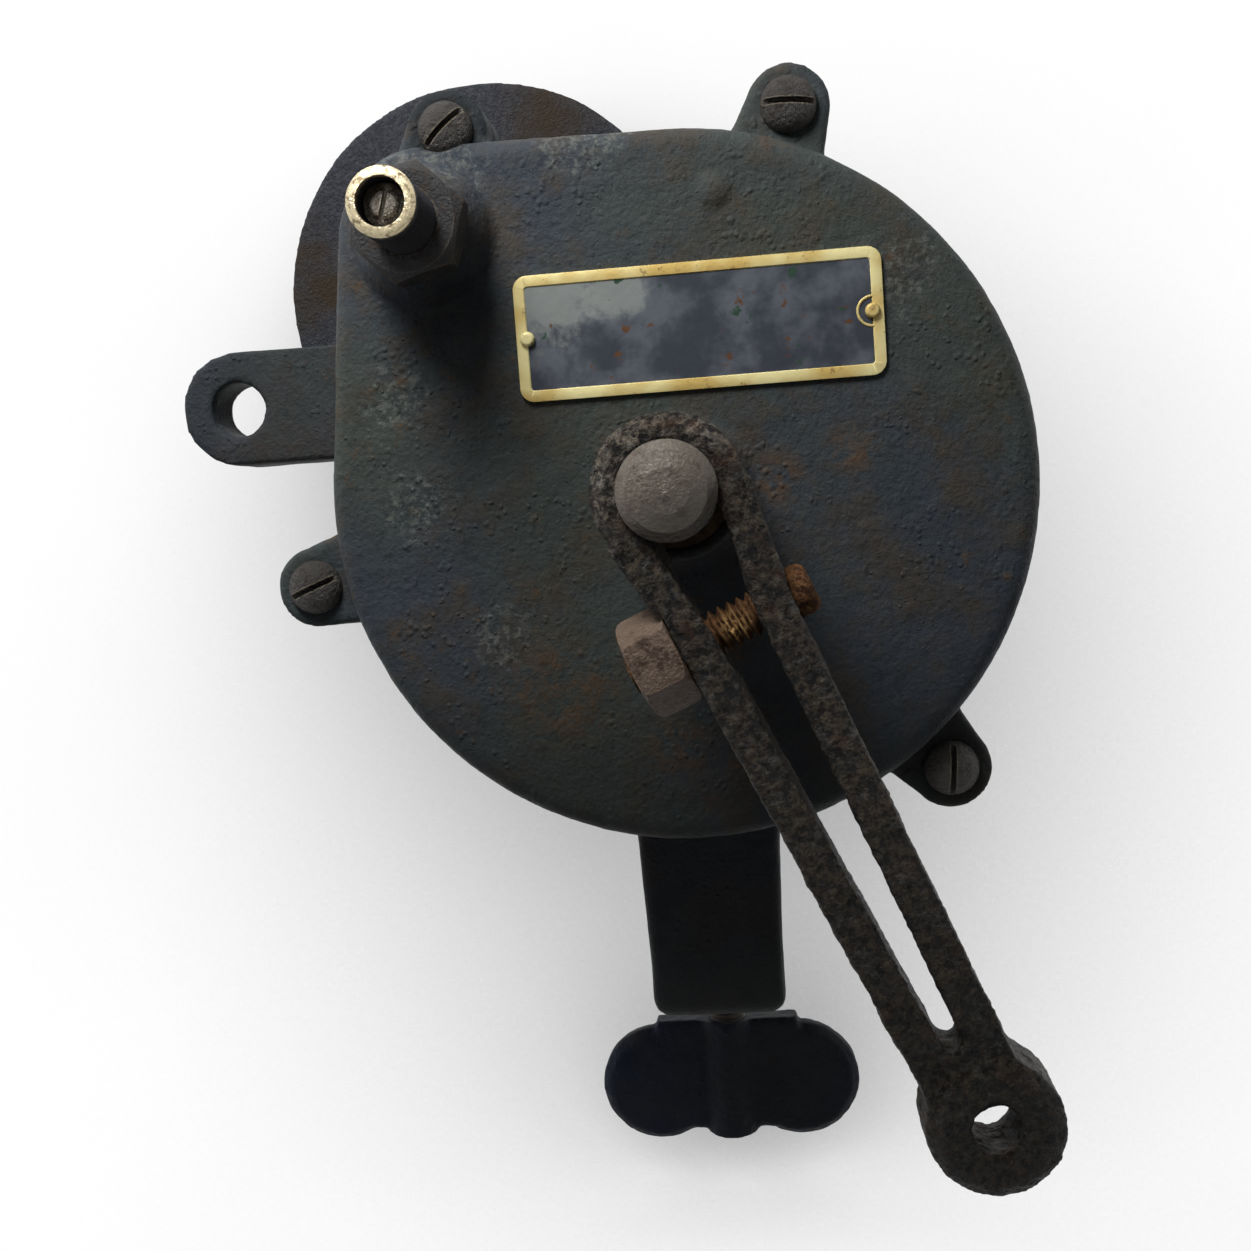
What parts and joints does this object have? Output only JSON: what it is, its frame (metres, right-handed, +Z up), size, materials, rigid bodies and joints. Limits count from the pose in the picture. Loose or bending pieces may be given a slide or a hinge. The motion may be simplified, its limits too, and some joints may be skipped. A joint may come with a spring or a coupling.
{
  "type": "hand crank bench grinder",
  "caption": "Hand cranked bench grinder: a round gear case on a bench clamp, a split clamp crank in front and a grinding wheel on the fast spindle behind.",
  "frame": {"origin": "middle of the flat seat that rests on the bench top, on the axis of the clamp screw", "axes": "+Y from the crank towards the grinding wheel, along both gear axes; +Z up, along the clamp screw; +X to the right as the crank is faced"},
  "size_m": [0.1817, 0.1635, 0.2698],
  "materials": {
    "case_paint": "old greenish black paint with brown rust",
    "crank_iron": "rough casting, dark and rusty",
    "bare_steel": "worn bare steel",
    "dark_steel": "dark oiled steel",
    "rusty_steel": "orange rust",
    "bush_bronze": "bronze bearing metal",
    "plate_brass": "tarnished brass with a dark enamelled field",
    "wheel_grit": "dark grey abrasive grit",
    "blotter_paper": "dark red blotting paper"
  },
  "bodies": {
    "case": {"front_cover": "case_paint", "rear_case": "case_paint", "crank_bush_front": "bush_bronze", "crank_bush_rear": "bush_bronze", "spindle_bush_rear": "bush_bronze", "spindle_sleeve": "bare_steel", "sleeve_lock_nut": "dark_steel", "name_plate": "plate_brass", "name_plate_pins": "plate_brass", "cover_screws": "dark_steel"},
    "crank": {"crank_shaft": "bare_steel", "gear_key": "bare_steel", "main_gear": "dark_steel", "thrust_washer_front": "bare_steel", "thrust_washer_rear": "bare_steel", "crank_arm": "crank_iron", "crank_clamp_bolt": "rusty_steel", "crank_clamp_nut": "dark_steel"},
    "spindle": {"wheel_spindle": "bare_steel", "pinion": "dark_steel", "inner_flange": "dark_steel", "outer_flange": "dark_steel", "blotter_inner": "blotter_paper", "blotter_outer": "blotter_paper", "grinding_wheel": "wheel_grit", "arbor_washer": "dark_steel", "arbor_nut": "dark_steel"},
    "pad": {"swivel_pad": "dark_steel"},
    "screw": {"clamp_screw": "case_paint"}
  },
  "joints": [
    {"name": "crank_turn", "type": "hinge", "parent": "case", "child": "crank", "pos_m": [0, -0.065, 0.068], "axis": [0, -1, 0], "continuous": true},
    {"name": "spindle_spin", "type": "hinge", "parent": "case", "child": "spindle", "pos_m": [-0.04759, -0.065, 0.12255], "axis": [0, -1, 0], "continuous": true},
    {"name": "clamp_travel", "type": "slide", "parent": "case", "child": "pad", "axis": [0, 0, 1], "range_m": [-0.0159, 0.012]},
    {"name": "clamp_screw_turn", "type": "hinge", "parent": "pad", "child": "screw", "pos_m": [0, 0, -0.06], "axis": [0, 0, 1], "range_deg": [-3600, 2700]}
  ],
  "couplings": [
    {"joint": "spindle_spin", "follows": "crank_turn", "ratio": -8.5},
    {"joint": "clamp_travel", "follows": "clamp_screw_turn", "m_per_rad": 0.00025266}
  ]
}
